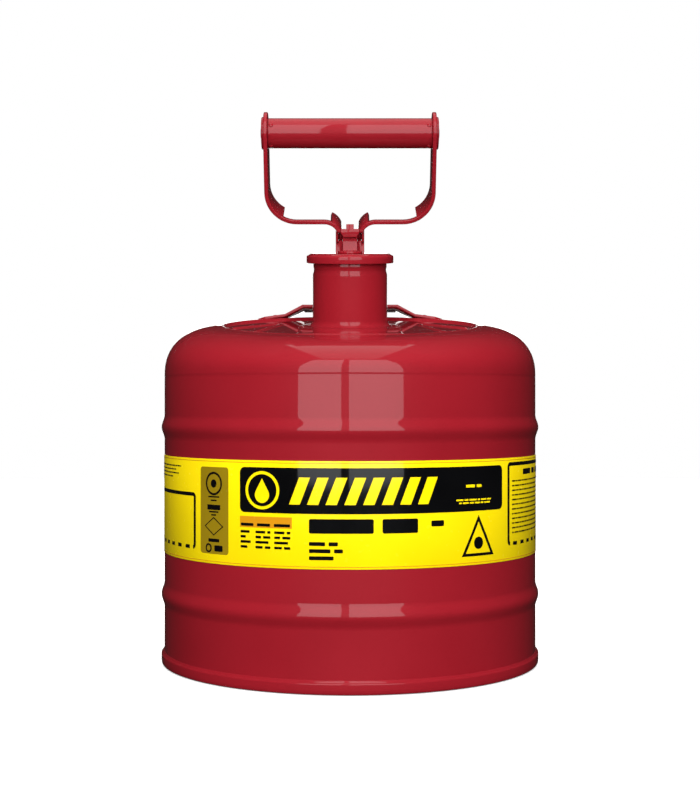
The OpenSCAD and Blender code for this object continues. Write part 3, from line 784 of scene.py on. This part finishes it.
def label():
    """Yellow film with generic print: plain blocks, bars, frames and rings."""
    film = rounded([(BODY_R - 0.1, LABEL_LOW, 0), (LABEL_R, LABEL_LOW, 0.1),
                    (LABEL_R, LABEL_HIGH, 0.1), (BODY_R - 0.1, LABEL_HIGH, 0)], 2)
    mesh = turned("label_film", film, 256, shift=lapped)
    add("label_film", mesh, "can", YELLOW, ["label_band"], 50)

    orange = Ink("label_orange", ORANGE, 1)
    half = math.pi * BODY_R
    for z in (LABEL_LOW + 1.1, LABEL_HIGH - 1.5):
        orange.fill(rectangle(-half, half, z, z + 0.4))
    orange.fill(rectangle(-66.7, -33.3, 93.4, 99.8))
    orange.finish()

    khaki = Ink("label_khaki", KHAKI, 1)
    khaki.fill(rectangle(-99.0, -75.2, 76.4, 127.3, 2.0))
    khaki.finish()

    lap = Ink("label_lap", YELLOW, 1)
    lap.fill(rectangle(half - 16, half - 7, LABEL_LOW + 2, LABEL_HIGH - 2.4))
    lap.finish()

    black = Ink("label_black", BLACK, 2)
    s0, s1, z0, z1 = PANEL
    black.fill(rectangle(s0, s1, z0, z1, 3.2, 6))
    # the main line under the panel, and the small print beside and below it
    black.fill(rectangle(-23.3, 13.4, 91.0, 99.2, 1.0, 3))
    black.fill(rectangle(18.4, 39.3, 91.0, 99.2, 1.0, 3))
    word_line(black, 47.5, 61.5, 94.3, 3.4, 1)
    for i in range(3):
        word_line(black, -23.3, -6.0 + 2 * (i % 2), 84.0 - 4.0 * i, 2.2, 2 * i)
    # the table's header and its four rows
    for row in range(4):
        for column, (start, width) in enumerate(((-66.2, 7.0), (-56.0, 9.6), (-44.0, 9.8))):
            word_line(black, start, start + width - row % 2 * (column == 0), 90.2 - 2.9 * row, 1.5, row)
    for start, width in ((-66.0, 8.6), (-55.0, 8.4), (-44.2, 9.8)):
        word_line(black, start, start + width, 94.2, 1.7, 4)
    # a plain triangle with a dot
    black.band([(67.9, 75.8), (93.5, 75.8), (80.7, 99.6)], [(70.9, 77.5), (90.5, 77.5), (80.7, 95.8)])
    black.fill(disc(80.7, 83.4, 3.6))
    # the khaki panel's marks
    middle = -87.1
    black.band(disc(middle, 117.6, 6.9), disc(middle, 117.6, 5.6))
    black.fill(disc(middle, 117.6, 2.4))
    for i, width in enumerate((9.4, 5.0, 11.0, 8.0, 4.2)):
        height = 3.0 if i == 2 else 0.9
        z = (109.4, 107.3, 102.2, 100.6, 98.8)[i]
        black.fill(rectangle(middle - width / 2, middle + width / 2, z, z + height, 0.3, 2))
    black.band([(middle - 8, 92.6), (middle, 87.1), (middle + 8, 92.6), (middle, 98.1)],
               [(middle - 6.9, 92.6), (middle, 87.9), (middle + 6.9, 92.6), (middle, 97.3)])
    black.fill(rectangle(middle - 4.6, middle + 4.6, 83.4, 85.4, 0.3, 2))
    black.band(disc(middle - 4.4, 79.8, 2.7), disc(middle - 4.4, 79.8, 1.6))
    black.fill(rectangle(middle + 0.6, middle + 7.4, 78.0, 81.6, 0.8, 3))
    # frames round the sides, and small print in and over them
    edge_frame(black, -104.0, -196.0, 78.0, 111.6)
    word_block(black, -190.0, -122.0, 127.0, 4, 0.8, 2.2)
    edge_frame(black, 107.6, 196.0, 79.6, 129.3)
    word_line(black, 128.0, 176.0, 121.4, 3.4, 0)
    word_block(black, 113.0, 190.0, 118.4, 12, 0.9, 2.8)
    for start in (-330.0, -262.0, 206.0, 276.0):
        word_line(black, start, start + 40.0, 120.6, 2.4, 5)
        word_block(black, start, start + 54.0, 116.4, 12, 0.9, 2.9)
    black.finish()

    top = Ink("label_yellow", YELLOW, 3)
    # slanted stripes and a ring with a drop, plain shapes inside the black panel
    slant, width, pitch = 6.0, 6.4, 10.6
    for i in range(8):
        s = -35.0 + i * pitch
        top.fill([(s, 107.2), (s + width, 107.2), (s + width + slant, 122.6), (s + slant, 122.6)])
    top.band(disc(-51.8, 114.9, 10.9, 48), disc(-51.8, 114.9, 9.2, 48))
    drop = arc(-51.8, 112.2, 4.6, 150, 390, 20) + [(-51.8, 121.6)]
    top.fill(drop)
    word_line(top, 71.0, 85.0, 115.8, 1.6, 0)
    word_line(top, 64.0, 92.0, 108.2, 0.9, 2)
    word_line(top, 66.0, 90.0, 106.4, 0.9, 5)
    top.finish()


# ---- everything in place -----------------------------------------------------

body_shell()
bottom_chime()
top_dome()
neck()
cap()
grip()
arrester()
lid_spring()
label()

for node, width in {
    "bottom_plate": 0.3, "mouth_ring": 0.15, "arrester_collar": 0.15, "arrester_end_cap": 0.2,
    "hinge_yoke": 0.3, "pivot_pin": 0.2, "handle_rest": 0.45,
    "rest_rivets": 0.1, "handle_arm_left": 0.45, "handle_arm_right": 0.45, "grip_plugs": 0.2,
    "grip_rod": 0.4, "grip_rivets": 0.1, "cap_gasket": 0.3, "gasket_retainer": 0.15,
    "cap_rivet": 0.15, "lid_arm": 0.3, "arm_rivets": 0.1,
}.items():
    keep(node, width)
keep("side_seam", 0.1, LINING)


# ---- studio ------------------------------------------------------------------


def area_light(name, place, aim, size, radiance, tint, glossy=True, diffuse=True):
    """A rectangular soft light of size (width, height) metres."""
    data = bpy.data.lights.new(name, "AREA")
    data.shape = "RECTANGLE"
    data.size, data.size_y = size
    data.energy = radiance * math.pi * size[0] * size[1]
    data.color = tint
    light = bpy.data.objects.new(name, data)
    light.location = place
    light.rotation_euler = (Vector(aim) - Vector(place)).to_track_quat("-Z", "Y").to_euler()
    light.visible_glossy = glossy
    light.visible_diffuse = diffuse
    light.visible_camera = False
    bpy.context.scene.collection.objects.link(light)


def studio():
    """Pale floor, white surround, two tall windows in front, an overhead, a horizon and fills."""
    surround = bpy.data.worlds.new("surround")
    surround.use_nodes = True
    tree = surround.node_tree
    seen = tree.nodes.new("ShaderNodeLightPath").outputs["Is Camera Ray"]
    shade = tree.nodes.new("ShaderNodeMix")
    shade.data_type = "FLOAT"
    tree.links.new(seen, shade.inputs["Factor"])
    shade.inputs[2].default_value = 0.015
    shade.inputs[3].default_value = 1.0
    tree.links.new(shade.outputs[0], tree.nodes["Background"].inputs["Strength"])
    tree.nodes["Background"].inputs["Color"].default_value = colour(1, 1, 1)
    bpy.context.scene.world = surround

    bpy.ops.mesh.primitive_circle_add(vertices=96, radius=2.2, fill_type="NGON", location=(0, 0, -0.0004))
    floor = bpy.context.object
    floor.name = "floor"
    s = Shader("pale_floor")
    tone = s.blend(s.between(s.noise(0.3, 3), 0, 1), colour(0.90, 0.90, 0.90), colour(0.94, 0.94, 0.94))
    s.set(Base_Color=tone, Roughness=0.6, Specular_IOR_Level=0.2, Emission_Strength=0.45,
          Emission_Color=colour(1, 1, 1))
    floor.data.materials.append(s.material)
    floor.visible_glossy = False
    floor.visible_diffuse = False

    cool = (0.93, 0.97, 1.0)
    white = (1.0, 0.99, 0.97)
    window_y, window_top = -2.0, 3.8
    for name, x0, x1 in (("window_left", -1.155, -0.176), ("window_right", -0.02, 1.2)):
        area_light(name, ((x0 + x1) / 2, window_y, window_top / 2), ((x0 + x1) / 2, 0, window_top / 2),
                   (x1 - x0, window_top), 2.3, cool)
    area_light("overhead", (0, 0.24, 1.9), (0, 0.24, 0), (0.78, 2.1), 0.75, white)
    area_light("fill_front", (0, -2.2, 0.8), (0, 0, 0.14), (2.2, 1.6), 4.6, white, False)
    area_light("horizon", (0, 2.2, 0.32), (0, 0, 0.32), (1.0, 0.57), 2.4, white, True, False)
    area_light("fill_top", (0, -0.2, 1.95), (0, 0, 0), (2.0, 2.0), 2.6, white, False)
    area_light("fill_left", (-1.9, 0, 0.8), (0, 0, 0.15), (1.2, 1.2), 0.9, white, False)
    area_light("fill_right", (1.9, 0, 0.8), (0, 0, 0.15), (1.2, 1.2), 0.9, white, False)
    area_light("fill_back", (0, 2.0, 1.0), (0, 0, 0.15), (2.4, 1.4), 3.0, white, False)


def camera():
    """Level, in front, a little above the can's upper bead."""
    data = bpy.data.cameras.new("camera")
    data.sensor_width = 36.0
    data.lens = 64.85
    data.clip_start = 0.01
    view = bpy.data.objects.new("camera", data)
    view.location = (0, -0.9307, 0.1664)
    view.rotation_euler = (math.pi / 2, 0, 0)
    bpy.context.scene.collection.objects.link(view)
    bpy.context.scene.camera = view


studio()
camera()
bpy.context.scene.view_settings.view_transform = "Standard"
